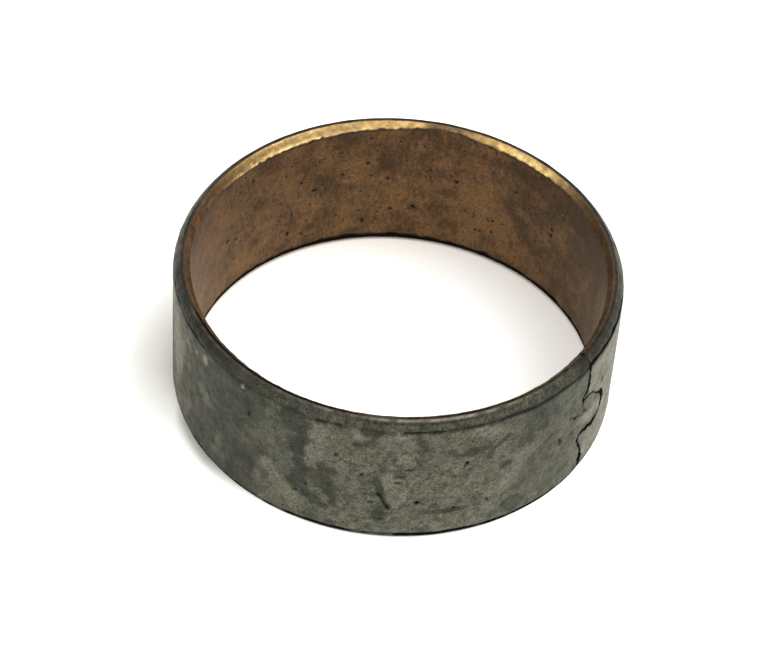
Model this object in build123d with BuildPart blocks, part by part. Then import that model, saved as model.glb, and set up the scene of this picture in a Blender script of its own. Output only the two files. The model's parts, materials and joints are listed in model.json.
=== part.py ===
from build123d import *

import os

# Steel-backed, bronze-lined wrapped bushing with a clinched seam. Millimetres.
# Origin on the bore axis at mid-width, +Z along the bore, the seam at +X.

# Bushing size.
BORE_D = 60.0
OUTER_D = 65.0
WIDTH = 24.0

# Bronze layer bonded to the inside of the steel strip.
BRONZE_T = 1.1

# Outer edges rolled over, bore edges machined.
OUTER_CHAMFER_RADIAL = 1.1
OUTER_CHAMFER_AXIAL = 1.6
BORE_CHAMFER_RADIAL = 0.7
BORE_CHAMFER_AXIAL = 0.8

# Clinched seam: a slit around a tongue of one strip end, pressed into a socket of the other.
# Y is the distance around the wall from the straight part of the seam, Z is along the axis.
SEAM_GAP = 0.12
SEAM_ROUND = 0.35
HOOK_Y = -1.1
HOOK_UPPER_START_Z = 5.6
HOOK_UPPER_Z = 4.4
HOOK_LOWER_Z = -2.9
HOOK_LOWER_CORNER_Z = -4.5
HOOK_LOWER_END_Z = -5.6
SHOULDER_UPPER_Y = 1.4
SHOULDER_UPPER_Z = 4.1
SHOULDER_LOWER_Y = 3.2
SHOULDER_LOWER_Z = -3.5
TIP_Y = 5.8
TIP_UPPER_Z = 0.8
TIP_LOWER_Z = -2.8

# Room the slit's cutting shape has past the wall it cuts.
CLEAR = 1.0

bore_r = BORE_D / 2
outer_r = OUTER_D / 2
bond_r = bore_r + BRONZE_T
half_width = WIDTH / 2
slit_start = bore_r - 2 * CLEAR
slit_depth = outer_r - slit_start + CLEAR

# The seam slit, drawn on a plane square to +X just inside the bore wall.
seam_plane = Plane.YZ.offset(slit_start)
with BuildSketch(seam_plane) as seam_slit:
    with BuildLine() as seam_line:
        FilletPolyline(
            (0, half_width + CLEAR),
            (0, HOOK_UPPER_START_Z),
            (HOOK_Y, HOOK_UPPER_Z),
            (SHOULDER_UPPER_Y, SHOULDER_UPPER_Z),
            (TIP_Y, TIP_UPPER_Z),
            (TIP_Y, TIP_LOWER_Z),
            (SHOULDER_LOWER_Y, SHOULDER_LOWER_Z),
            (HOOK_Y, HOOK_LOWER_Z),
            (HOOK_Y, HOOK_LOWER_CORNER_Z),
            (0, HOOK_LOWER_END_Z),
            (0, -half_width - CLEAR),
            radius=SEAM_ROUND,
        )
    trace(line_width=SEAM_GAP)

# Both layers are turned from a section on the -X side, so that no face joint crosses the tongue.
section_plane = Plane(origin=(0, 0, 0), x_dir=(-1, 0, 0), z_dir=(0, 1, 0))

# Steel backing: the outer layer, with both outer edges chamfered.
with BuildPart() as steel_backing:
    with BuildSketch(section_plane) as steel_section:
        with BuildLine() as steel_outline:
            Polyline(
                (bond_r, -half_width),
                (outer_r - OUTER_CHAMFER_RADIAL, -half_width),
                (outer_r, -half_width + OUTER_CHAMFER_AXIAL),
                (outer_r, half_width - OUTER_CHAMFER_AXIAL),
                (outer_r - OUTER_CHAMFER_RADIAL, half_width),
                (bond_r, half_width),
                close=True,
            )
        make_face()
    revolve(axis=Axis.Z)
    extrude(seam_slit.sketch, amount=slit_depth, mode=Mode.SUBTRACT)
steel_backing.part.label = "steel_backing"

# Bronze lining: the bearing layer inside the backing, with both bore edges chamfered.
with BuildPart() as bronze_lining:
    with BuildSketch(section_plane) as bronze_section:
        with BuildLine() as bronze_outline:
            Polyline(
                (bore_r, -half_width + BORE_CHAMFER_AXIAL),
                (bore_r + BORE_CHAMFER_RADIAL, -half_width),
                (bond_r, -half_width),
                (bond_r, half_width),
                (bore_r + BORE_CHAMFER_RADIAL, half_width),
                (bore_r, half_width - BORE_CHAMFER_AXIAL),
                close=True,
            )
        make_face()
    revolve(axis=Axis.Z)
    extrude(seam_slit.sketch, amount=slit_depth, mode=Mode.SUBTRACT)
bronze_lining.part.label = "bronze_lining"

os.makedirs("parts", exist_ok=True)
export_step(steel_backing.part, "parts/steel_backing.step")
export_step(bronze_lining.part, "parts/bronze_lining.step")
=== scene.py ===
"""Steel-backed, bronze-lined wrapped bushing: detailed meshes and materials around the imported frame."""

import json
from math import cos, pi, radians, sin, sqrt, tau

import bpy
import numpy as np
from mathutils import Matrix, Vector


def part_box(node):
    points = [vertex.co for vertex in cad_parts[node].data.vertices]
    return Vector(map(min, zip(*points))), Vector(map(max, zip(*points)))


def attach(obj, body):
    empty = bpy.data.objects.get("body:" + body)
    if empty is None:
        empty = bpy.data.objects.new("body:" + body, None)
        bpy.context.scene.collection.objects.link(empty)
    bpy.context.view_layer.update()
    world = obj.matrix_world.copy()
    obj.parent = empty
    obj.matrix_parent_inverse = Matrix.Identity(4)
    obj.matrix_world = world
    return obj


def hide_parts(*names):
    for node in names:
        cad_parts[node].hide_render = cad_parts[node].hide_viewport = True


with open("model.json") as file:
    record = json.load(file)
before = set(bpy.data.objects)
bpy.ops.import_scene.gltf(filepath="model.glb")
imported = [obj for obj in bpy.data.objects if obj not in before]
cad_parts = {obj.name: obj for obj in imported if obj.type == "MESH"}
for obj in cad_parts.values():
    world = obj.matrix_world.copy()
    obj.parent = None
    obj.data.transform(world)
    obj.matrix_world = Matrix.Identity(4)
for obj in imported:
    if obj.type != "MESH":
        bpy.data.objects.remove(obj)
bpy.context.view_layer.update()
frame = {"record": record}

# ---------------------------------------------------------------- sizes, in millimetres
MM = 0.001
mounts = {mount["name"]: mount["dims"] for mount in frame["record"]["mounts"]}
OUTER_R = mounts["housing_seat"]["r_mm"]
LAND_END = mounts["housing_seat"]["length_mm"] / 2
BORE_R = mounts["bore"]["r_mm"]
BORE_END = mounts["bore"]["length_mm"] / 2
BOND_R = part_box("bronze_lining")[1].y / MM
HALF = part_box("steel_backing")[1].z / MM
OUTER_CHAMFER = 1.1
BORE_CHAMFER = 0.7
# The heights between which the paint changes from a wall to its upper end.
END_FROM = HALF - 1.2
END_TO = HALF - 0.8
# The edges at the bond are broken by this much.
BROKEN_EDGE = 0.04

# The seam's line from top to bottom: distance along the wall from the straight part, height,
# half the gap there, and how far the dirt reaches. It goes round the tongue, which points to +Y.
SEAM = (
    (0.0, 13.0, 0.03, 0.06),
    (0.05, 10.6, 0.04, 0.12),
    (0.1, 9.6, 0.17, 0.42),
    (0.15, 7.6, 0.18, 0.52),
    (0.2, 5.6, 0.20, 0.52),
    (-0.8, 4.8, 0.18, 0.46),
    (-1.0, 4.1, 0.05, 0.22),
    (1.3, 4.5, 0.03, 0.02),
    (3.3, 2.4, 0.04, 0.14),
    (5.7, 0.8, 0.20, 0.75),
    (5.8, -1.4, 0.18, 0.80),
    (5.5, -2.9, 0.08, 0.45),
    (3.2, -3.5, 0.24, 0.80),
    (0.6, -2.8, 0.24, 0.72),
    (-1.0, -2.8, 0.16, 0.45),
    (-1.0, -4.5, 0.10, 0.34),
    (0.0, -5.7, 0.14, 0.26),
    (0.3, -8.6, 0.30, 0.85),
    (0.1, -10.2, 0.08, 0.22),
    (0.0, -13.0, 0.08, 0.10),
)
LEAST_HALF_GAP = 0.03
# The bronze's gap, as a share of the steel's.
BRONZE_GAP = 0.4
# Room that the seam's cutter has past the wall.
CLEAR = 1
# Points further along the wall than the reach from the tongue's middle are taken to be far from the seam.
TONGUE_MIDDLE = 2
SEAM_REACH = 8
FAR = 50.0

# Mesh spacing: (from, to, step) zones of finer steps along the wall, and the step outside them.
SEAM_ZONE = (-3.0, 7.5, 0.16)
FRONT_ZONE = (-70.0, -3.0, 0.27)
BORE_ZONE = (28.0, 101.0, 0.30)
COARSE = 0.55
ROW_STEP = 0.2
SHARP_ANGLE = radians(40)


# ---------------------------------------------------------------- numbers along the wall
def graded(start, stop, zones, coarse):
    """Positions from start to stop with each zone's own step inside it, growing to coarse outside."""
    growth = 0.06
    places = [start]
    while places[-1] < stop:
        here = places[-1]
        steps = [fine + growth * max(low - here, here - high, 0) for low, high, fine in zones]
        places.append(here + min(*steps, coarse))
    return start + (np.array(places) - start) * (stop - start) / (places[-1] - start)


def even(start, stop, step):
    """Positions from start to stop, about a step apart."""
    return np.linspace(start, stop, round(abs(stop - start) / step) + 1)


def table(angle, points):
    """Reads (angle, value) points, in degrees around the ring, at any angle."""
    angles, values = np.array(points).T
    return np.interp(angle, angles, values, period=360)


def ripple(points, wavelength, seed, waves=24):
    """A smooth random field, mostly from -1 to 1, with details about a wavelength (mm) across.
    The same seed always gives the same field."""
    draw = np.random.default_rng(seed)
    directions = draw.normal(size=(waves, 3))
    directions /= np.linalg.norm(directions, axis=1, keepdims=True)
    speeds = tau / wavelength * draw.uniform(0.6, 1.6, waves)
    phases = draw.uniform(0, tau, waves)
    flat = points.reshape(-1, 3) @ (directions * speeds[:, None]).T + phases
    return (np.sin(flat).sum(axis=1) / sqrt(waves)).reshape(points.shape[:-1])


def smooth(value, low, high):
    """0 below low, 1 above high, and an even rise between."""
    t = np.clip((value - low) / (high - low), 0, 1)
    return t * t * (3 - 2 * t)


def ridge(value, centre, width):
    """1 at the centre, falling off in a bell of about the width on both sides."""
    return np.exp(-(((value - centre) / width) ** 2))


def around(angle, centre, width, soft):
    """1 within half the width of centre, falling to 0 over soft; all in degrees around the ring."""
    away = np.abs((angle - centre + 180) % 360 - 180)
    return 1 - smooth(away, width / 2, width / 2 + soft)


def cylinder_points(angle, r, z):
    """x, y, z for degrees from the seam, radius and height."""
    turn = np.radians(angle)
    return np.stack([r * np.cos(turn), r * np.sin(turn), z], axis=-1)


# ---------------------------------------------------------------- objects
def in_scene(name, data):
    """A new object in the scene."""
    made = bpy.data.objects.new(name, data)
    bpy.context.scene.collection.objects.link(made)
    return made


def mesh_object(name, points, faces):
    """A new mesh object in the scene, from points in millimetres."""
    mesh = bpy.data.meshes.new(name)
    mesh.from_pydata((points * MM).tolist(), [], faces)
    return in_scene(name, mesh)


# ---------------------------------------------------------------- the seam's line
def rounded(points, passes=2):
    """The points with their corners cut off twice."""
    for _ in range(passes):
        ahead = points[1:]
        behind = points[:-1]
        pairs = np.stack([behind * 0.75 + ahead * 0.25, behind * 0.25 + ahead * 0.75], axis=1)
        points = np.concatenate([points[:1], pairs.reshape(-1, points.shape[1]), points[-1:]])
    return points


def seam_line(step=0.2, wander=0.05):
    """Places along the seam (y, z), its direction there, half its gap, and its dirt's reach."""
    corners = rounded(np.array(SEAM))
    lengths = np.linalg.norm(np.diff(corners[:, :2], axis=0), axis=1)
    run = np.concatenate([[0], np.cumsum(lengths)])
    places = np.linspace(0, run[-1], int(run[-1] / step))
    y, z, gap, dirt = (np.interp(places, run, corners[:, k]) for k in range(4))
    rough = np.stack([y, z, 0 * z], axis=1)
    y = y + wander * ripple(rough, 1.3, 11)
    gap = np.maximum(gap * (1 + 0.35 * ripple(rough, 0.9, 12)), LEAST_HALF_GAP)
    line = np.stack([y, z], axis=1)
    direction = np.gradient(line, axis=0)
    direction /= np.linalg.norm(direction, axis=1, keepdims=True)
    return line, direction, gap, dirt * (1 + 0.3 * ripple(rough, 1.1, 13))


SEAM_LINE, SEAM_DIRECTION, SEAM_HALF_GAP, SEAM_DIRT = seam_line()


def from_seam(points):
    """How far points are from the seam's line, +1 or -1 for the socket's or the tongue's side,
    and how far the dirt reaches at the nearest place on the line."""
    distance = np.full(points.shape[:-1], FAR)
    side = np.ones(points.shape[:-1])
    dirt = np.zeros(points.shape[:-1])
    near = (points[..., 0] > 0) & (np.abs(points[..., 1] - TONGUE_MIDDLE) < SEAM_REACH)
    away = points[near][:, None, 1:] - SEAM_LINE[None]
    gaps = np.linalg.norm(away, axis=2)
    closest = gaps.argmin(axis=1)
    chosen = away[np.arange(len(closest)), closest]
    along = SEAM_DIRECTION[closest]
    distance[near] = gaps.min(axis=1)
    side[near] = np.sign(along[:, 0] * chosen[:, 1] - along[:, 1] * chosen[:, 0])
    dirt[near] = SEAM_DIRT[closest]
    return distance, side, dirt


def seam_cutter(name, gap_scale):
    """A thin wall that follows the seam and passes radially through the ring on the +X side."""
    across = np.stack([-SEAM_DIRECTION[:, 1], SEAM_DIRECTION[:, 0]], axis=1)
    offset = across * (SEAM_HALF_GAP * gap_scale)[:, None]
    rings = []
    for x in (BORE_R - 2 * CLEAR, OUTER_R + CLEAR):
        for edge in (SEAM_LINE + offset, SEAM_LINE - offset):
            rings.append(np.column_stack([np.full(len(edge), x), edge]))
    inner_left, inner_right, outer_left, outer_right = (k * len(SEAM_LINE) for k in range(4))
    loop = (inner_left, outer_left, outer_right, inner_right)
    faces = [loop]
    for i in range(len(SEAM_LINE) - 1):
        for k in range(4):
            a, b = loop[k], loop[(k + 1) % 4]
            faces.append((a + i, a + i + 1, b + i + 1, b + i))
    last = len(SEAM_LINE) - 1
    faces.append(tuple(start + last for start in reversed(loop)))
    return mesh_object(name, np.concatenate(rings), faces)


# ---------------------------------------------------------------- ring meshes
def ring(name, section, zones, shape):
    """A closed ring: a section of (r, z) points turned about Z and moved by shape(angle, r, z)."""
    half_turn = pi * OUTER_R
    along = graded(-half_turn, half_turn, zones, COARSE)[:-1]
    angle, r = np.meshgrid(np.degrees(along / OUTER_R), section[:, 0], indexing="ij")
    z = np.broadcast_to(section[:, 1], r.shape)
    points = cylinder_points(angle, *shape(angle, r, z))
    columns, rows = r.shape
    column, row = np.meshgrid(np.arange(columns), np.arange(rows), indexing="ij")
    after, above = (column + 1) % columns, (row + 1) % rows
    corners = ((column, row), (after, row), (after, above), (column, above))
    faces = np.stack([i * rows + j for i, j in corners], axis=-1).reshape(-1, 4)
    return mesh_object(name, points.reshape(-1, 3), faces.tolist())


def cut(piece, cutter):
    """The piece's mesh with the cutter taken out, and smooth faces with sharp corners."""
    modifier = piece.modifiers.new("seam", "BOOLEAN")
    modifier.operation = "DIFFERENCE"
    modifier.solver = "EXACT"
    modifier.object = cutter
    graph = bpy.context.evaluated_depsgraph_get()
    mesh = bpy.data.meshes.new_from_object(piece.evaluated_get(graph))
    piece.modifiers.clear()
    piece.data = mesh
    mesh.name = piece.name
    bpy.data.objects.remove(cutter)
    mesh.shade_smooth()
    mesh.set_sharp_from_angle(angle=SHARP_ANGLE)


def mesh_points(piece):
    """The piece's points in millimetres."""
    places = np.empty(len(piece.data.vertices) * 3, np.float32)
    piece.data.vertices.foreach_get("co", places)
    return places.reshape(-1, 3).astype(float) / MM


def around_ring(points):
    """Degrees from the seam, radius and height of each point."""
    x, y, z = points.T
    return np.degrees(np.arctan2(y, x)), np.hypot(x, y), z


def paint(piece, name, values, low=0):
    """Keeps a number from low to 1 per point of the mesh for the material to read."""
    layer = piece.data.attributes.new(name, "FLOAT", "POINT")
    layer.data.foreach_set("value", np.clip(values, low, 1).astype(np.float32))


def bond_line():
    """(r, z) up the bonded wall, without its ends."""
    end = HALF - BROKEN_EDGE
    heights = np.linspace(-end, end, 9)[1:-1]
    return np.column_stack([np.full(len(heights), BOND_R), heights])


def out_of_round(angle):
    """How far the whole ring bulges at an angle."""
    return 0.05 * np.cos(np.radians(2 * angle - 70)) + 0.015 * np.cos(np.radians(5 * angle + 20))


class Wall:
    """Marks on the unrolled wall, placed in millimetres: (along from the seam, height)."""

    def __init__(self, angle, z, points, radius, seed):
        self.along = np.radians((angle + 180) % 360 - 180) * radius
        self.girth = tau * radius
        self.z = z
        self.sway = ripple(points, 1.8, seed)
        self.lift = ripple(points, 1.8, seed + 1)
        self.drift = ripple(points, 5.5, seed + 2)

    def away(self, along, height, warp):
        """How far along and above a place, with the distances bent by up to about the warp."""
        u = (self.along - along + self.girth / 2) % self.girth - self.girth / 2
        return u + warp * self.sway, self.z - height + warp * self.lift

    def spot(self, along, height, width, rise, soft):
        """1 inside an uneven oval of half-widths width and rise."""
        u, v = self.away(along, height, 0.25 * min(width, rise, 1.2))
        return 1 - smooth(np.hypot(u / width, v / rise), 1 - soft, 1 + soft)

    def streak(self, start, end, width, soft=0.6):
        """1 along an uneven line between two places, of half-width width."""
        u, v = self.away(*start, 0.35 * min(width, 0.8))
        u = u + 0.5 * min(width, 1.2) * self.drift
        run = np.array([end[0] - start[0], end[1] - start[1]])
        share = np.clip((u * run[0] + v * run[1]) / (run @ run), 0, 1)
        reach = np.hypot(u - share * run[0], v - share * run[1]) / width
        return 1 - smooth(reach, 1 - soft, 1 + soft)

    def spots(self, places, soft=0.4):
        """1 inside any of the (along, height, width, rise) ovals."""
        return sum(self.spot(*place, soft) for place in places)

    def streaks(self, places, soft=0.6):
        """1 along any of the (start, end, width) lines."""
        return sum(self.streak(*place, soft) for place in places)


# ---------------------------------------------------------------- steel backing
# In mm: a spot is (along, height, half-width, half-height), and a streak is (start, end, half-width).
STEEL_PITS = (
    (-21.6, 3.3, 0.45, 0.50), (-21.1, 2.0, 0.3, 0.2), (-28.4, -3.8, 0.42, 0.35), (-40.1, 4.5, 0.3, 0.35),
    (-5.9, 0.0, 0.35, 0.35), (-5.5, -0.7, 0.4, 0.45), (4.9, 3.9, 0.45, 0.35), (-44.3, -3.0, 0.25, 0.25),
    (-45.8, -5.0, 0.2, 0.25), (-36.3, 1.5, 0.22, 0.35), (-23.0, -5.5, 0.3, 0.35), (-33.3, -7.2, 0.3, 0.2),
    (-54.0, 5.6, 0.35, 0.6), (-18.0, -5.2, 0.3, 0.3), (40, -2.4, 0.5, 0.4), (63, 5.2, 0.4, 0.4),
    (88, -6.1, 0.45, 0.4),
)
SCUFF_DASHES = (
    (-29.8, 3.0, 0.65, 0.2), (-31.0, 1.6, 0.85, 0.15), (-31.2, 0.4, 0.55, 0.22), (-34.8, -3.8, 0.6, 0.16),
)
CRACKS = (
    ((-3.8, 2.7), (-2.4, 2.1), 0.24), ((-2.4, 2.1), (-0.8, 1.5), 0.3), ((-0.3, 2.2), (0.6, 1.0), 0.4),
    ((-3.4, -0.4), (-2.4, -1.0), 0.2),
)
SEAM_CRACK = ((-0.9, 4.6), (-0.7, 3.0), 0.22)
SCRATCH = ((-33.8, -2.1), (-32.5, -4.7), 0.4)
GRIME = ((-46.2, 9.6, 1.7, 0.7), (-35.4, 10.5, 1.1, 0.6))
STAINS = (
    (-46.8, 8.8, 2.1, 1.9), (-35.4, 10.3, 1.3, 1.2), (-37.2, 7.4, 0.7, 0.5), (-10.3, 7.6, 1.8, 1.6),
    (-18.3, 4.0, 0.6, 1.0), (-13.8, -8.0, 2.2, 1.1), (-20.6, 5.6, 2.2, 0.8), (-60.5, 5.8, 3.6, 1.6),
    (-76.5, -5.0, 1.5, 1.0), (-78.0, 1.0, 0.9, 5.5), (-33.6, -6.2, 1.2, 2.0), (-54.5, 6.6, 1.2, 2.2),
    (-24.0, -5.9, 3.0, 0.5), (-0.6, 2.4, 0.5, 0.9), (-12.5, 4.0, 1.2, 1.6), (-15.5, 1.0, 0.9, 0.8),
    (34, 5, 2.4, 3.0), (52, -3, 3.2, 1.6), (74, 6, 3.5, 2),
)
STAIN_STREAKS = (
    ((-45.6, 8.0), (-45.0, 1.0), 1.0), ((-45.0, 1.0), (-45.8, -4.0), 1.0),
    ((-45.8, -4.0), (-42.6, -6.4), 0.8), ((-41.0, 1.0), (-40.4, -5.6), 0.9),
    ((-34.4, 1.2), (-32.7, -4.2), 0.5), ((-15.4, 7.0), (-17.8, 5.2), 0.45),
    ((-32.3, 4.8), (-30.6, 6.7), 0.25), ((-29.0, 5.4), (-28.4, 3.9), 0.3), ((-28.8, 10), (-28, 7), 0.6),
    ((-9.0, 6.0), (-10.5, 9.5), 0.8), ((-66, 8), (-56, 4.5), 1.3), ((29, 9), (31, -8), 1.1),
)
# The second spot, at (-55.2, 10.2), is a painted highlight.
BARE_SPOTS = (
    (-30.6, 5.3, 1.4, 1.3), (-55.2, 10.2, 0.3, 0.4), (-63.6, 8.6, 0.5, 1.2), (-37.0, 2.7, 0.3, 0.15),
    (-35.5, 2.9, 0.3, 0.2), (-31.0, 0.95, 0.8, 0.16), (-37.0, 9.0, 0.9, 0.7), (-31.3, 9.6, 1.1, 0.5),
    (-0.4, 0.0, 1.6, 1.0), (2.6, -0.6, 2.4, 1.6), (-17.5, -6.3, 0.5, 0.3), (2.2, 7.6, 1.2, 2.0),
    (-73.8, 2.0, 2.8, 6.5),
)
BARE_STREAKS = (
    ((-51.0, -2.4), (-45.6, -7.6), 1.7), ((-42.8, 8.6), (-43.0, 1.6), 1.1),
    ((-33.4, 0.6), (-31.6, -4.6), 0.35), ((-31.4, -4.6), (-28.8, 1.0), 0.35),
    ((-16.6, 8.2), (-20.0, 9.4), 1.2), ((-16.0, -3.8), (-12.0, 2.0), 1.4),
    ((-32.4, 1.4), (-30.4, -2.6), 0.9), ((45, 3), (58, 6), 1.5), ((80, -6), (92, -2), 1.3),
)
TINTS = (
    (-21.8, -7.4, 1.6, 0.8), (-48.0, -6.0, 2.2, 2.2), (4.2, -6.4, 1.8, 1.8), (2.0, 6.8, 0.8, 2.2),
    (-0.2, 0.2, 1.4, 0.7), (-37.5, 9.2, 1.2, 0.7), (60, -7, 2.4, 1.2),
)
# The first chip is a painted highlight; the others are lighter chips.
PALE_CHIPS = ((-55.2, 10.0, 0.35, 0.4), (-63.8, 8.4, 0.45, 0.9), (-66.2, 7.9, 0.3, 0.3))

# Broad areas around the ring: middle, width and softness, in degrees from the seam.
LEFT_STAIN = (-111, 26, 9)
# The next two are painted shade: darker towards the front's left, and beside the seam where the lamp lights
# the wall most.
LEFT_SHADE = (-88, 20, 16)
TONGUE_SHADE = (-6, 26, 14)
SOCKET_BARE = (18, 30, 10)
SOCKET_EDGE = (13, 19, 6)
SOCKET_GROOVE = (13, 22, 6)
DARK_BACK = (108, 124, 12)
# Where the painted shadow on the lower rolled edge is darkest.
SHADED_FRONT_EDGE = (-54, 150, 20)
SOCKET_FROM = -9

# How deep the groove under the rolled upper edge is, and how dark its painted shade is, around the ring, by
# degrees from the seam.
EDGE_LINE = (
    (-180, 0.5), (-145, 0.9), (-140, 1.3), (-118, 1.3), (-112, 0.6), (-104, 0.2), (-82, 0.2), (-78, 1.0),
    (-70, 1.1), (-66, 0.3), (-63, 0), (-56, 0), (-54, 1.3), (-47, 1.5), (-44, 1.0), (-38, 1.0),
    (-30, 1.1), (-22, 1.3), (-17, 1.1), (-12, 1.2), (-8, 1.5), (16, 1.5), (22, 0.8), (90, 0.6),
)
# How dark the rolled edge and the end face are.
RIM_DARK = (
    (-175, 0.75), (-168, 0.5), (-160, 0.9), (-130, 1.0), (-115, 0.8), (-100, 0.45), (-85, 0.3), (-20, 0.3),
    (-6, 0.5), (-2, 1.0), (22, 1.0), (30, 0.8), (42, 0.75), (50, 0.95), (110, 1.0),
)
# How bright the painted highlight is along the worn corner between the end face and the rolled edge.
CORNER_HIGHLIGHT = (
    (-130, 0), (-120, 0.3), (-100, 0.15), (-92, 0.1), (-82, 0.2), (-72, 0.4), (-66, 0.4), (-62, 1),
    (-38, 1), (-30, 0.6), (-18, 0.3), (-6, 0),
)
CORNER_R = OUTER_R - OUTER_CHAMFER
CORNER_WIDTH = 0.13

# How deep the marks are, in millimetres.
PIT_DEPTH = 0.16
DASH_DEPTH = 0.12
STAIN_DEPTH = 0.05
GROOVE_DEPTH = 0.10
# The seeds that bend the marks' outlines. The steel's shape and its paint share one.
STEEL_SEED = 40
BRONZE_SEED = 60


def steel_section():
    """(r, z) up the outside, over the rolled edge and the upper end, down the bond, and back below."""
    land = even(-LAND_END, LAND_END, ROW_STEP)
    outside = np.column_stack([np.full(len(land), OUTER_R), land])
    rise = HALF - LAND_END
    bulge = 0.10
    rolled = []
    for t in even(0, 1, 0.1)[1:]:
        swell = bulge * sin(pi * t) / sqrt(rise**2 + OUTER_CHAMFER**2)
        r = OUTER_R - OUTER_CHAMFER * t + swell * rise
        rolled.append((r, LAND_END + rise * t + swell * OUTER_CHAMFER))
    upper = np.concatenate([rolled, [(BOND_R + 0.12, HALF), (BOND_R, HALF - BROKEN_EDGE)]])
    return np.concatenate([outside, upper, bond_line()[::-1], upper[::-1] * (1, -1)])


def edge_line(angle, r, z, points):
    """1 in the worn groove where the rolled edge meets the outside wall, which is cut in and darkened as
    painted shade.
    """
    height = LAND_END + 0.06 + 0.06 * ripple(points, 6, 45)
    width = 0.27 + 0.06 * ripple(points, 3, 46) + 0.1 * around(angle, *SOCKET_GROOVE)
    groove = np.clip(1.7 * ridge(np.abs(z), height, width), 0, 1)
    groove *= smooth(r, OUTER_R - 0.8, OUTER_R - 0.4)
    return groove * np.clip(table(angle, EDGE_LINE) + 0.35 * ripple(points, 2.5, 43), 0, 1)


def steel_shape(angle, r, z):
    """Moves the steel's points: a faint waviness, pits, scuffs, the edge groove and the seam's lips."""
    points = cylinder_points(angle, r, z)
    wall = Wall(angle, z, points, OUTER_R, STEEL_SEED)
    on_outside = smooth(r, BOND_R + 0.2, OUTER_R - 1.0)
    on_end = smooth(np.abs(z), LAND_END + 0.5, HALF)
    move = 0.014 * ripple(points, 9, 41) + 0.009 * ripple(points, 2.2, 42) - 0.02
    move -= PIT_DEPTH * wall.spots(STEEL_PITS) + DASH_DEPTH * wall.spots(SCUFF_DASHES)
    move -= STAIN_DEPTH * wall.streaks(STAIN_STREAKS)
    move -= GROOVE_DEPTH * edge_line(angle, r, z, points)
    distance, side, dirt = from_seam(points)
    move -= 0.35 * dirt * np.exp(-distance / 0.3) + 0.05 * side * np.exp(-distance / 1.2)
    r = r + out_of_round(angle) + on_outside * move
    return r, z + on_end * np.sign(z) * 0.02 * ripple(points, 4, 44)


def steel_stain_and_shade(wall, angle, points, on_socket):
    """Where the outside is darker: stains, and painted shade in two broad areas."""
    stain = 0.95 * wall.spots(STAINS, 0.45) + 0.7 * wall.streaks(STAIN_STREAKS)
    stain += 0.9 * around(angle, *LEFT_STAIN) * smooth(ripple(points, 5, 47), -1.8, 0.6)
    # Painted shade in two broad areas.
    stain += 0.3 * around(angle, *LEFT_SHADE) + 0.45 * around(angle, *TONGUE_SHADE) * ~on_socket
    return stain + 0.42 * smooth(ripple(points, 3.4, 50), 0.3, 1.3)


def steel_bare(wall, angle, points, on_socket):
    """Where the outside is scuffed to lighter metal."""
    bare = 0.8 * wall.spots(BARE_SPOTS) + 0.6 * wall.streaks(BARE_STREAKS, 0.4)
    return bare + 0.7 * around(angle, *SOCKET_BARE) * on_socket * smooth(ripple(points, 3.2, 48), -1.8, 0.3)


def steel_soot_and_shade(wall, angle, r, z, points, below):
    """Where the steel is black: pits, cracks, the seam, the painted shade in the edge line's groove, parts
    of the upper rolled edge, and the painted shadow on the lower rolled edge.
    """
    distance, _, dirt = from_seam(points)
    soot = wall.spots(STEEL_PITS) + 1.2 * wall.spots(SCUFF_DASHES) + 0.9 * wall.streaks(CRACKS)
    soot += 1.1 * wall.streak(*SCRATCH, 0.9) + 0.32 * wall.spots(GRIME, 0.5) + wall.streak(*SEAM_CRACK)
    # The edge groove's painted shade, and the dirt along the seam.
    soot += 0.9 * edge_line(angle, r, z, points) + 1 - smooth(distance, 0.8 * dirt, 0.8 * dirt + 0.2)
    soot += 0.45 * around(angle, *DARK_BACK) * smooth(z, LAND_END + 0.1, LAND_END + 0.6)
    # Painted shadow: the lower rolled edge is darkened, most at the front.
    soot += below * (0.45 + 0.35 * around(angle, *SHADED_FRONT_EDGE) + 0.06 * ripple(points, 2, 55))
    on_edge = smooth(z, LAND_END - 0.05, LAND_END + 0.1) * (1 - smooth(z, HALF - 1.3, HALF - 0.9))
    return soot + around(angle, *SOCKET_EDGE) * on_edge


def steel_pale_and_highlight(wall, angle, r, z, points):
    """A painted highlight along the worn upper corner, and the lighter chips, the first of which is also a
    painted highlight.
    """
    corner = ridge(r, CORNER_R - 0.02, CORNER_WIDTH) * smooth(z, HALF - 0.5, HALF - 0.2)
    uneven = 0.6 + 0.35 * ripple(points, 1.1, 53) + 0.35 * ripple(points, 3, 54)
    pale = corner * table(angle, CORNER_HIGHLIGHT) * uneven
    return pale + wall.spots(PALE_CHIPS) * (0.5 + 0.35 * ripple(points, 0.7, 56))


def steel_rim_and_shade(angle, r, z, points, rolled, below):
    """Where the rolled edges and the end face are darker, with painted shadow on the lower rolled edge."""
    rim = rolled * table(angle, RIM_DARK) * (0.95 + 0.12 * ripple(points, 1.5, 49))
    below_corner = ridge(r, CORNER_R + 0.28, CORNER_WIDTH) * smooth(z, HALF - 1, END_TO)
    # 0.9 * below is painted shadow on the lower rolled edge.
    return rim + 0.5 * below_corner * table(angle, CORNER_HIGHLIGHT) + 0.9 * below


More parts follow.
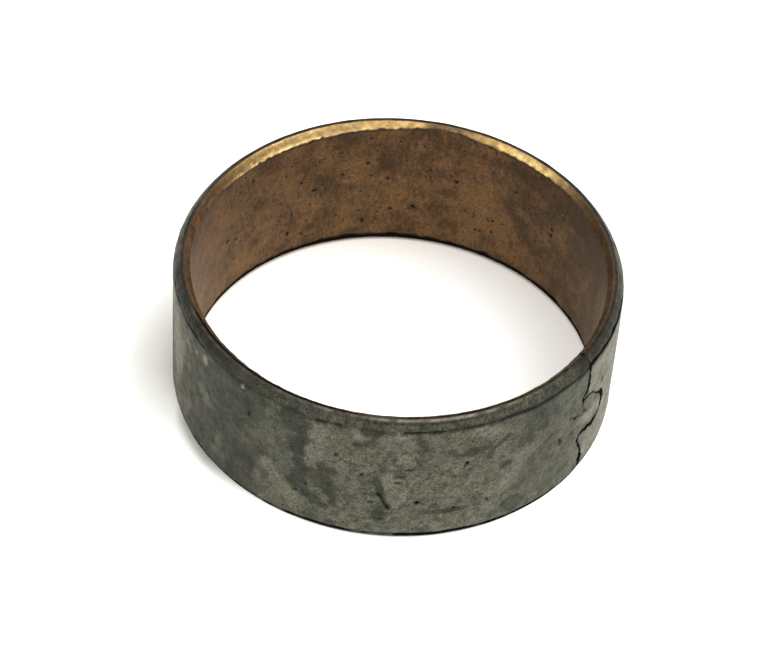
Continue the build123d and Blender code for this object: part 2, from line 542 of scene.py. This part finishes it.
def paint_steel(piece):
    """Stains, bare scuffs, yellow tints, the dark rolled edge and dirt on the steel, with painted shade,
    painted shadow and a painted highlight among them.
    """
    points = mesh_points(piece)
    angle, r, z = around_ring(points)
    wall = Wall(angle, z, points, OUTER_R, STEEL_SEED)
    on_socket = (from_seam(points)[1] > 0) & (angle > SOCKET_FROM)
    rolled = smooth(z, LAND_END + 0.1, LAND_END + 0.4)
    # The lower rolled edge, which gets painted shadow.
    below = smooth(-z, LAND_END - 0.5, LAND_END - 0.1)
    pale = np.clip(steel_pale_and_highlight(wall, angle, r, z, points), 0, 1)
    rim = np.clip(steel_rim_and_shade(angle, r, z, points, rolled, below), 0, 1)
    stain = np.clip(steel_stain_and_shade(wall, angle, points, on_socket), 0, 1)
    bare = np.clip(steel_bare(wall, angle, points, on_socket), 0, 1)
    paint(piece, "stain", stain * (1 - 0.5 * rolled))
    paint(piece, "bare", bare * (1 - rolled))
    paint(piece, "tint", wall.spots(TINTS, 0.5))
    paint(piece, "rim", rim * (1 - pale))
    paint(piece, "pale", pale)
    paint(piece, "soot", steel_soot_and_shade(wall, angle, r, z, points, below))


# ---------------------------------------------------------------- bronze lining
# How far down from the upper end the machined chamfer reaches, and how bright its golden colour and painted
# highlight are, by degrees.
CHAMFER_DEPTH = (
    (46, 0.9), (76, 0.85), (96, 0.85), (102, 0.6), (106, 0.15), (113, 0.1), (117, 0.4), (124, 0.9),
    (134, 1.1), (145, 1.35), (160, 1.5), (176, 1.6), (190, 1.2), (205, 0.8),
)
GOLD_AND_HIGHLIGHT = (
    (-160, 0), (28, 0), (50, 0), (62, 0.05), (68, 0.2), (73, 0.5), (78, 1), (93, 1), (99, 0.6), (106, 0.25),
    (115, 0.15), (119, 0.8), (124, 0.85), (130, 0.7), (144, 0.75), (149, 1.2), (163, 1.2), (169, 0.9),
    (176, 0.5), (185, 0.08),
)
# How dark the flat end of the lining is.
FLAT_DARK = (
    (-165, 0.3), (-135, 0.35), (-122, 0.55), (-116, 0.9), (-80, 0.95), (-67, 0.9), (-64, 0.35), (-56, 0.35),
    (-53, 0.9), (-30, 0.9), (-12, 0.85), (5, 0.8), (20, 0.6), (42, 0.4), (50, 0.5), (80, 0.6),
    (110, 0.62), (150, 0.75), (166, 0.75), (176, 0.5), (185, 0.35),
)
# Spots are (along, height, half-width, half-height) in millimetres.
PORES = (
    (38.0, 2.0, 0.4, 0.4), (38.3, 0.8, 0.4, 0.45), (35.6, 6.0, 0.3, 0.3), (37.2, 4.6, 0.2, 0.25),
    (45.6, 4.6, 0.3, 0.3), (46.2, 4.3, 0.25, 0.2), (51.5, 9.0, 0.25, 0.2), (55.7, 2.2, 0.4, 0.35),
    (59.0, 8.3, 0.2, 0.2), (59.8, 3.4, 0.35, 0.3), (62.2, -4.6, 0.5, 0.4), (49.2, -3.4, 0.3, 0.3),
    (50.0, -3.5, 0.3, 0.25), (49.2, -5.7, 0.25, 0.25), (51.9, -6.5, 0.3, 0.2), (66.4, 1.0, 0.38, 0.34),
    (68.9, 1.7, 0.3, 0.25), (69.6, 4.1, 0.45, 0.35), (73.5, 2.2, 0.35, 0.35), (70.4, -1.5, 0.25, 0.25),
    (69.9, -7.6, 0.22, 0.6), (65.7, -5.3, 0.45, 0.3), (74.2, -6.0, 0.25, 0.25), (77.9, 0.3, 0.6, 0.22),
    (80.1, 2.6, 0.3, 0.35), (82.4, -7.0, 0.3, 0.5), (81.8, -3.4, 0.15, 0.9), (89.3, 7.6, 0.4, 0.4),
    (91.9, 8.2, 0.25, 0.2), (95.0, -0.8, 0.4, 0.4), (93.0, -1.8, 0.3, 0.3), (88.8, -2.2, 0.2, 0.2),
    (96.0, -6.5, 0.3, 0.25), (101.3, -6.4, 0.3, 0.3), (68.1, 6.6, 0.2, 0.3), (44.6, -8.2, 0.2, 0.2),
    (78.4, -9.0, 0.25, 0.2),
)
DARK_CLOUDS = (
    (58.8, 3.0, 1.8, 1.8), (49.0, 7.2, 1.6, 2.2), (42.0, -4.6, 2.2, 1.6), (60.0, 9.0, 4.0, 3.0),
    (65.5, 3.0, 2.0, 6.0), (45.0, 8.5, 3.0, 1.8), (76.0, 0.6, 0.5, 2.0), (81.6, -5.0, 0.6, 1.6),
    (34.0, 8.5, 6, 2.5), (90.5, 7.0, 1.6, 1.2), (98.0, -4.0, 1.6, 2.0),
)
ORANGE_CLOUDS = (
    (48.0, -6.0, 4.0, 3.0), (53.0, -0.5, 2.4, 3.4), (69.0, -3.0, 3.6, 5.0), (88.0, -8.0, 5.0, 1.6),
    (99.0, 2.0, 4.0, 7.0), (84.0, 3.0, 4.0, 4.0), (52.8, -7.6, 1.6, 1.2),
)
# The lighter patch: where its leaning border is at a height, its shift along the wall per mm of height,
# and where the patch fades out along the wall.
PATCH_START = 39.4
PATCH_HEIGHT = -8
PATCH_LEAN = 0.95
PATCH_FADE = (52, 57)

# Broad areas around the bore: middle, width and softness, in degrees from the seam.
SCORCHED_FRONT = (-98, 38, 12)
LOWER_STEP = (70, 3, 4)
DULL_CHAMFER = (10, 90, 20)
DULL_RIGHT = (42, 24, 10)
BROWN_RIGHT = (66, 34, 12)
PALE_LEFT = (-170, 30, 24)
# Below about this height the bore's lower end is black, as painted shadow where it meets the floor.
LOWER_LINE = HALF - 1.75


def bronze_section():
    """(r, z) up the bond, over the upper end and chamfer, down the bore, and back below."""
    chamfer = np.linspace((BORE_R + BORE_CHAMFER, HALF), (BORE_R, BORE_END), 8)
    flat = ((BOND_R, HALF - BROKEN_EDGE), (BOND_R - 0.08, HALF - 0.01), (BOND_R - 0.2, HALF))
    edge = BORE_END - 2.0
    bore = [even(BORE_END, edge, 0.14)[1:], even(edge, -edge, 0.26)[1:], even(-edge, -BORE_END, 0.2)[1:-1]]
    bore = np.concatenate(bore)
    inside = np.column_stack([np.full(len(bore), BORE_R), bore])
    upper = np.concatenate([flat, chamfer])
    return np.concatenate([bond_line(), upper, inside, upper[::-1] * (1, -1)])


def bronze_shape(angle, r, z):
    """Moves the bronze's points: the uneven chamfer, a faint waviness and the seam's lips."""
    points = cylinder_points(angle, r, z)
    on_bore = 1 - smooth(r, BORE_R + 0.1, BORE_R + BORE_CHAMFER)
    extra = table(angle, CHAMFER_DEPTH) - (HALF - BORE_END) + 0.06 * ripple(points, 1.6, 61)
    near_edge = on_bore * smooth(z, BORE_END - 3.0, BORE_END)
    z_moved = z - extra * near_edge
    move = 0.010 * ripple(points, 7, 62) + 0.004 * ripple(points, 1.8, 63)
    distance, side, _ = from_seam(points)
    lips = 0.06 * np.exp(-distance / 0.3) + 0.03 * side * np.exp(-distance / 1.5)
    r = r + out_of_round(angle) + on_bore * (move + lips)
    on_end = smooth(np.abs(z), BORE_END, HALF) * (1 - on_bore)
    return r, z_moved + on_end * np.sign(z) * 0.02 * ripple(points, 2.2, 64)


def bronze_gold_and_highlight(glow, above, z, points, on_flat):
    """Where the machined chamfer is golden, with a painted highlight that is brighter towards its lower
    edge.
    """
    gold = glow * (0.9 + 0.2 * ripple(points, 2.2, 66)) * smooth(above, -0.12, 0.10) * (1 - on_flat)
    # Painted reflection: brighter towards the chamfer's lower edge.
    return gold * (0.8 + 0.2 * smooth(HALF - z, 0.1, 0.5))


def bronze_soot_and_shade(wall, glow, above, angle, z, points, on_flat):
    """Where the bronze is black: under the golden chamfer, on the ends, in the pores and at the seam; at
    the bore's lower end this is painted shadow.
    """
    soot = 0.85 * np.sqrt(glow) * ridge(above, -0.26, 0.26) * (0.85 + 0.25 * ripple(points, 1.5, 68))
    burnt = around(angle, *SCORCHED_FRONT) * smooth(z, END_FROM, END_TO)
    soot += 0.7 * burnt * (1 + 0.4 * ripple(points, 1.3, 72))
    soot += on_flat * table(angle, FLAT_DARK) * (1 + 0.2 * ripple(points, 1.2, 69))
    # Painted shadow: the bore's lower end is blackened.
    lower_line = LOWER_LINE - 0.12 * around(angle, *LOWER_STEP) + 0.12 * ripple(points, 2.5, 70)
    soot += smooth(-z - lower_line, 0, 0.4)
    distance, _, _ = from_seam(points)
    return soot + 1.1 * wall.spots(PORES) + 1 - smooth(distance, 0.2, 0.45)


def bronze_shade(wall, glow, angle, z, points, on_flat):
    """Where the bronze is lighter (above 0) or darker (below 0)."""
    leaning = wall.along - PATCH_START - PATCH_LEAN * (z - PATCH_HEIGHT)
    patch = smooth(leaning, -0.7, 0.7) * (1 - smooth(wall.along, *PATCH_FADE)) * smooth(-z, -8, 2)
    on_chamfer = smooth(z, END_FROM, END_TO)
    shade = 0.42 * patch + 0.5 * wall.spots(ORANGE_CLOUDS, 0.7) - 0.6 * wall.spots(DARK_CLOUDS, 0.6)
    shade += 0.5 * ripple(points, 4.5, 71)
    shade -= 0.25 * (1 - smooth(glow, 0, 0.3)) * smooth(z, HALF - 4, HALF - 1)
    shade -= 0.55 * around(angle, *DULL_CHAMFER) * on_chamfer + on_flat
    shade -= 0.7 * around(angle, *DULL_RIGHT) * smooth(z, -1, 9) * (1 - on_chamfer)
    shade -= 0.5 * around(angle, *BROWN_RIGHT) * (1 - smooth(leaning, -1, 1))
    return shade + 0.2 * around(angle, *PALE_LEFT)


def paint_bronze(piece):
    """How bright, light, dark and dirty the bronze is, with a painted highlight on the chamfer and painted
    shadow at the bore's lower end.
    """
    points = mesh_points(piece)
    angle, r, z = around_ring(points)
    r = r - out_of_round(angle)
    wall = Wall(angle, z, points, BORE_R, BRONZE_SEED)
    glow = table(angle, GOLD_AND_HIGHLIGHT)
    above = z - HALF + table(angle, CHAMFER_DEPTH) - 0.10 * ripple(points, 1.1, 65)
    flat_from = BORE_R + BORE_CHAMFER
    on_flat = smooth(r, flat_from, flat_from + 0.15) * smooth(z, HALF - 0.2, HALF - 0.1)
    paint(piece, "gold", bronze_gold_and_highlight(glow, above, z, points, on_flat))
    paint(piece, "shade", bronze_shade(wall, glow, angle, z, points, on_flat), low=-1)
    paint(piece, "soot", bronze_soot_and_shade(wall, glow, above, angle, z, points, on_flat))


# ---------------------------------------------------------------- materials
def tone(red, green, blue):
    """A linear colour from 0-255 display values."""
    return (*(((value / 255 + 0.055) / 1.055) ** 2.4 for value in (red, green, blue)), 1.0)


class Graph:
    """A material's nodes, with a short call for each kind."""

    def __init__(self, name):
        self.material = bpy.data.materials.new(name)
        self.material.use_nodes = True
        self.tree = self.material.node_tree
        self.shader = self.tree.nodes["Principled BSDF"]
        places = self.node("ShaderNodeTexCoord").outputs["Object"]
        self.places = self.vector("SCALE", places, scale=1 / MM).outputs[0]

    def node(self, kind, feeds=None, **settings):
        """A node with its settings, and its inputs fed by number or name."""
        made = self.tree.nodes.new(kind)
        for key, value in settings.items():
            setattr(made, key, value)
        for socket, value in (feeds or {}).items():
            self.feed(made.inputs[socket], value)
        return made

    def feed(self, socket, value):
        """Links a socket to another, or sets its value."""
        if isinstance(value, bpy.types.NodeSocket):
            self.tree.links.new(value, socket)
        else:
            socket.default_value = value

    def painted(self, name):
        """A number kept on the mesh."""
        return self.node("ShaderNodeAttribute", attribute_name=name).outputs["Fac"]

    def spread(self, value, low, high, to_low=0.0, to_high=1.0):
        """A value from low to high made to run from to_low to to_high, and held at its ends."""
        feeds = {"Value": value, "From Min": low, "From Max": high, "To Min": to_low, "To Max": to_high}
        return self.node("ShaderNodeMapRange", feeds).outputs["Result"]

    def noise(self, size, detail=3.0, stretch=(1, 1, 1), low=0.35, high=0.65, rough=0.6):
        """Noise from 0 to 1 with features about size mm, longer along an axis whose stretch is small."""
        mapped = self.node("ShaderNodeMapping", {"Vector": self.places, "Scale": stretch}).outputs[0]
        feeds = {"Vector": mapped, "Scale": 1 / size, "Detail": detail, "Roughness": rough}
        return self.spread(self.node("ShaderNodeTexNoise", feeds).outputs["Fac"], low, high)

    def specks(self, spacing, size, where):
        """1 in round specks of about size mm, one to a cell a spacing across, only where it is 1."""
        feeds = {"Vector": self.places, "Scale": 1 / spacing}
        nearest = self.node("ShaderNodeTexVoronoi", feeds).outputs["Distance"]
        reach = self.maths("MULTIPLY", where, size / spacing)
        return self.maths("MULTIPLY", self.maths("SUBTRACT", reach, nearest), 3 * spacing / size)

    def ragged(self, amount, coarse, fine):
        """A painted amount whose soft border is broken up by two noises."""
        noise = self.blend(0.5, coarse, fine)
        return self.spread(self.maths("MULTIPLY_ADD", noise, 0.5, amount, clamp=False), 0.4, 1.0)

    def maths(self, operation, *values, clamp=True):
        """One step of sums on numbers, kept from 0 to 1 unless clamp is off."""
        feeds = dict(enumerate(values))
        return self.node("ShaderNodeMath", feeds, operation=operation, use_clamp=clamp).outputs[0]

    def vector(self, operation, *values, scale=None):
        """One step of sums on vectors, as its node."""
        feeds = dict(enumerate(values))
        if scale:
            feeds["Scale"] = scale
        return self.node("ShaderNodeVectorMath", feeds, operation=operation)

    def blend(self, amount, first, second):
        """From the first colour at 0 to the second at 1."""
        feeds = {0: amount, 6: first, 7: second}
        return self.node("ShaderNodeMix", feeds, data_type="RGBA").outputs[2]

    def cover(self, colour, mask, share, over):
        """The colour with another over it, by a share, where the mask is 1."""
        return self.blend(self.maths("MULTIPLY", mask, share), colour, over)

    def bump(self, height, depth, below=None):
        """A bump depth mm high, on top of an earlier one."""
        feeds = {"Height": height, "Distance": depth * MM, "Strength": 1.0}
        if below:
            feeds["Normal"] = below
        return self.node("ShaderNodeBump", feeds).outputs["Normal"]

    def metal(self, metallic, dirt, tint):
        """Metal where there is no dirt or painted shade, and matt black where there is."""
        self.feed(self.shader.inputs["Metallic"], self.spread(dirt, 0, 1, metallic, 0))
        self.feed(self.shader.inputs["Specular IOR Level"], self.spread(dirt, 0, 1, 0.5, 0))
        self.feed(self.shader.inputs["Specular Tint"], tint)

    def finish(self, colour, roughness, normal):
        """The finished material."""
        self.feed(self.shader.inputs["Base Color"], colour)
        self.feed(self.shader.inputs["Roughness"], roughness)
        self.feed(self.shader.inputs["Normal"], normal)
        return self.material


def steel_material():
    """Dull grey-green steel, mottled, grainy and stained, with painted shade, painted shadow and a painted
    highlight kept on the mesh.
    """
    graph = Graph("dull_steel")
    clouds = graph.noise(6, 3, low=0.38, high=0.62)
    flakes = graph.noise(2.2, 3, low=0.5, high=0.55)
    crusts = graph.noise(1.5, 3, low=0.54, high=0.6)
    mottle = graph.noise(0.8, 5, low=0.40, high=0.60, rough=0.8)
    grain = graph.noise(0.3, 3, low=0.40, high=0.66, rough=0.8)
    brushed = graph.noise(0.7, 3, stretch=(1, 1, 0.2), low=0.42, high=0.66)
    stain = graph.ragged(graph.painted("stain"), flakes, mottle)
    bare = graph.ragged(graph.painted("bare"), crusts, mottle)
    specks = graph.specks(1.3, 0.26, graph.noise(4, 2, low=0.42, high=0.56))
    soot = graph.painted("soot")
    dark = graph.blend(clouds, tone(60, 62, 50), tone(71, 69, 58))
    light = graph.blend(clouds, tone(99, 102, 88), tone(117, 113, 100))
    colour = graph.blend(mottle, dark, light)
    colour = graph.cover(colour, flakes, 0.3, tone(122, 120, 109))
    colour = graph.cover(colour, crusts, 0.4, tone(54, 57, 49))
    colour = graph.cover(colour, brushed, 0.1, tone(112, 110, 100))
    # Stains, with painted shade in two broad areas.
    colour = graph.cover(colour, stain, 0.78, tone(36, 41, 37))
    colour = graph.cover(colour, bare, 0.55, tone(136, 135, 122))
    colour = graph.cover(colour, graph.painted("tint"), 0.35, tone(105, 108, 84))
    # Dark rolled edges, with painted shadow on the lower one.
    colour = graph.cover(colour, graph.painted("rim"), 0.92, tone(24, 24, 25))
    colour = graph.cover(colour, grain, 0.8, tone(34, 33, 22))
    colour = graph.cover(colour, specks, 0.7, tone(22, 22, 19))
    # Painted highlight along the upper corner, and lighter chips.
    colour = graph.cover(colour, graph.painted("pale"), 0.85, tone(142, 136, 123))
    # Black dirt, with painted shade in the edge groove and painted shadow on the lower rolled edge.
    colour = graph.cover(colour, soot, 0.97, tone(8, 7, 6))
    dirt = graph.maths("MAXIMUM", soot, graph.maths("MULTIPLY", specks, 0.7))
    graph.metal(0.95, dirt, (0.98, 0.97, 0.91, 1))
    roughness = graph.spread(graph.noise(1.5, 4), 0, 1, 0.42, 0.62)
    normal = graph.bump(graph.noise(0.4, 4, low=0.2, high=0.8), 0.03)
    normal = graph.bump(mottle, 0.03, normal)
    return graph.finish(colour, roughness, normal)


def bronze_material():
    """Brown-patinated bronze, bright and golden where it is freshly machined, with a painted highlight
    there and painted shadow at the bore's lower end.
    """
    graph = Graph("bearing_bronze")
    clouds = graph.noise(5, 3, low=0.36, high=0.64)
    mottle = graph.noise(0.8, 5, stretch=(1, 1, 0.7), low=0.40, high=0.60, rough=0.8)
    grain = graph.noise(0.3, 3, low=0.40, high=0.66, rough=0.8)
    specks = graph.specks(1.4, 0.3, graph.noise(4, 2, low=0.36, high=0.52))
    shade, gold, soot = graph.painted("shade"), graph.painted("gold"), graph.painted("soot")
    dark = graph.blend(clouds, tone(79, 61, 39), tone(95, 69, 43))
    light = graph.blend(clouds, tone(110, 88, 68), tone(131, 100, 75))
    # Golden colour of the machined chamfer, lightened as a painted highlight.
    bright = graph.blend(graph.noise(0.6, 3), tone(224, 174, 97), tone(255, 228, 163))
    colour = graph.blend(mottle, dark, light)
    colour = graph.blend(graph.spread(shade, 0, 1, 0, 0.5), colour, tone(142, 108, 72))
    colour = graph.blend(graph.spread(shade, 0, -1, 0, 0.65), colour, tone(58, 50, 40))
    colour = graph.cover(colour, grain, 0.66, tone(56, 37, 15))
    colour = graph.cover(colour, specks, 0.8, tone(24, 16, 10))
    # The golden chamfer with its painted highlight.
    colour = graph.blend(gold, colour, bright)
    # Black dirt, with painted shadow at the bore's lower end.
    colour = graph.cover(colour, soot, 0.95, tone(14, 9, 5))
    dirt = graph.maths("MAXIMUM", soot, graph.maths("MULTIPLY", specks, 0.7))
    graph.metal(1.0, dirt, (0.96, 0.92, 0.86, 1))
    roughness = graph.spread(gold, 0, 1, 0.5, 0.3)
    normal = graph.bump(graph.noise(0.35, 4, low=0.2, high=0.8), 0.025)
    normal = graph.bump(mottle, 0.02, normal)
    return graph.finish(colour, roughness, normal)


# The floor's glow is painted light; FRONT_GLOW paints away the ring's shade in front of it.
FLOOR_GLOW = 0.3
FRONT_GLOW = 0.7
SHADE_TINT = 0.6
# The floor's soft shade beside the ring: its middle, and its reach along the ring and away from it, in mm.
SHADED_FLOOR = (((-29.5, -15.5, 0), 25, 10), ((-16.0, -29.0, 0), 17, 2.0))
SHADE_CORE = 4


def floor_shade(graph, level, radius, outside):
    """How shaded the floor is beside the ring."""
    shade = 0.0
    for place, along, out in SHADED_FLOOR:
        beside = graph.vector("DISTANCE", level, place).outputs["Value"]
        near = graph.maths("MULTIPLY", graph.spread(radius, OUTER_R, OUTER_R + out, 1, 0), outside)
        spot = graph.maths("MULTIPLY", graph.spread(beside, SHADE_CORE, along, 1, 0), near)
        shade = graph.maths("MAXIMUM", shade, spot)
    return shade


def floor_light(graph, radius, outside, shade):
    """How strongly the floor glows, as painted light: not under the ring, which paints its contact shadow,
    more in front of it, which paints its shade away, and less in its shade.
    """
    apart = graph.maths("SUBTRACT", radius, BOND_R, clamp=False)
    apart = graph.maths("ABSOLUTE", apart, clamp=False)
    glow = graph.spread(apart, 0.35, 1.0, 0, FLOOR_GLOW)
    ahead = graph.vector("DOT_PRODUCT", graph.places, -facing(VIEW_HEADING, 0)).outputs["Value"]
    before = graph.spread(ahead, 0, OUTER_R - 4)
    close = graph.spread(radius, OUTER_R + 0.6, OUTER_R + 9, FRONT_GLOW, 0)
    extra = graph.maths("MULTIPLY", graph.maths("MULTIPLY", before, close), outside)
    glow = graph.maths("ADD", glow, extra, clamp=False)
    return graph.maths("MULTIPLY", glow, graph.spread(shade, 0, 1, 1, 0), clamp=False)


def floor_material():
    """Plain matt white paper that glows as painted light, with a soft painted shadow at one side of the
    ring and a painted warm bounce next to the bore.
    """
    graph = Graph("white_paper")
    level = graph.vector("MULTIPLY", graph.places, (1, 1, 0)).outputs[0]
    radius = graph.vector("LENGTH", level).outputs["Value"]
    outside = graph.spread(radius, OUTER_R - 1.3, OUTER_R - 0.9)
    shade = floor_shade(graph, level, radius, outside)
    colour = graph.blend(graph.noise(40, 2), tone(243, 242, 240), tone(246, 245, 243))
    # Painted warm light, as if bounced from the bronze, on the floor next to the bore; the next line
    # returns the paper's own colour outside the ring.
    colour = graph.blend(graph.spread(radius, BOND_R - 6, BOND_R - 1), colour, tone(246, 238, 226))
    colour = graph.blend(graph.spread(radius, BOND_R, BOND_R + 1), colour, tone(244, 243, 241))
    colour = graph.cover(colour, shade, SHADE_TINT, tone(214, 217, 205))
    graph.feed(graph.shader.inputs["Emission Color"], (1.0, 0.99, 0.97, 1))
    graph.feed(graph.shader.inputs["Emission Strength"], floor_light(graph, radius, outside, shade))
    return graph.finish(colour, 0.9, graph.bump(graph.noise(0.5, 2), 0.01))


# ---------------------------------------------------------------- pieces
def make_steel():
    """The detailed steel backing."""
    piece = ring("steel_shell", steel_section(), (SEAM_ZONE, FRONT_ZONE), steel_shape)
    cut(piece, seam_cutter("steel_seam", 1.0))
    paint_steel(piece)
    piece.data.materials.append(steel_material())
    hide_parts("steel_backing")
    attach(piece, "root")


def make_bronze():
    """The detailed bronze lining."""
    piece = ring("bronze_liner", bronze_section(), (SEAM_ZONE, BORE_ZONE), bronze_shape)
    cut(piece, seam_cutter("bronze_seam", BRONZE_GAP))
    paint_bronze(piece)
    piece.data.materials.append(bronze_material())
    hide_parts("bronze_lining")
    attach(piece, "root")


# ---------------------------------------------------------------- stage, light and camera
# The camera's angles in degrees, and its distance and aim in metres.
VIEW_HEADING = 121.7
VIEW_PITCH = 44.9
VIEW_ROLL = 4.04
VIEW_DISTANCE = 0.42446
VIEW_AIM = Vector((-0.00112, -0.00260, 0))
LENS = 137.9
# The key lamp stands this far round from the camera.
KEY_TURN = 86
FLOOR_REACH = 3000


def make_floor():
    """A square of paper under the ring."""
    ways = ((-1, -1), (1, -1), (1, 1), (-1, 1))
    corners = [(x * FLOOR_REACH, y * FLOOR_REACH, -HALF) for x, y in ways]
    floor = mesh_object("floor", np.array(corners), [(0, 1, 2, 3)])
    floor.data.materials.append(floor_material())


def facing(heading, pitch):
    """The direction looked along: heading in degrees from +X, pitch in degrees below level."""
    level = cos(radians(pitch))
    return Vector((cos(radians(heading)) * level, sin(radians(heading)) * level, -sin(radians(pitch))))


def look(direction):
    """The turn that faces an object's -Z along the direction, with its +Y up."""
    return direction.to_track_quat("-Z", "Y").to_matrix().to_4x4()


def soft_light(name, heading, pitch, distance, size, watts):
    """A square lamp that shines at the origin from behind the given direction."""
    data = bpy.data.lights.new(name, "AREA")
    data.size = size
    data.energy = watts
    direction = facing(heading, pitch)
    in_scene(name, data).matrix_world = Matrix.Translation(-direction * distance) @ look(direction)


def make_lights():
    """A white room and one soft lamp."""
    world = bpy.data.worlds.new("studio")
    world.use_nodes = True
    background = world.node_tree.nodes["Background"]
    background.inputs["Color"].default_value = (1.0, 0.99, 0.97, 1)
    background.inputs["Strength"].default_value = 1.2
    bpy.context.scene.world = world
    soft_light("key", heading=VIEW_HEADING + KEY_TURN, pitch=56, distance=1.2, size=0.9, watts=11)
    bpy.context.scene.view_settings.view_transform = "Standard"


def make_camera():
    """The camera, turned a little about its own line of sight."""
    data = bpy.data.cameras.new("camera")
    data.lens = LENS
    data.clip_start = 0.01
    camera = in_scene("camera", data)
    direction = facing(VIEW_HEADING, VIEW_PITCH)
    lean = Matrix.Rotation(radians(VIEW_ROLL), 4, "Z")
    camera.matrix_world = Matrix.Translation(VIEW_AIM - direction * VIEW_DISTANCE) @ look(direction) @ lean
    bpy.context.scene.camera = camera


make_steel()
make_bronze()
make_floor()
make_lights()
make_camera()
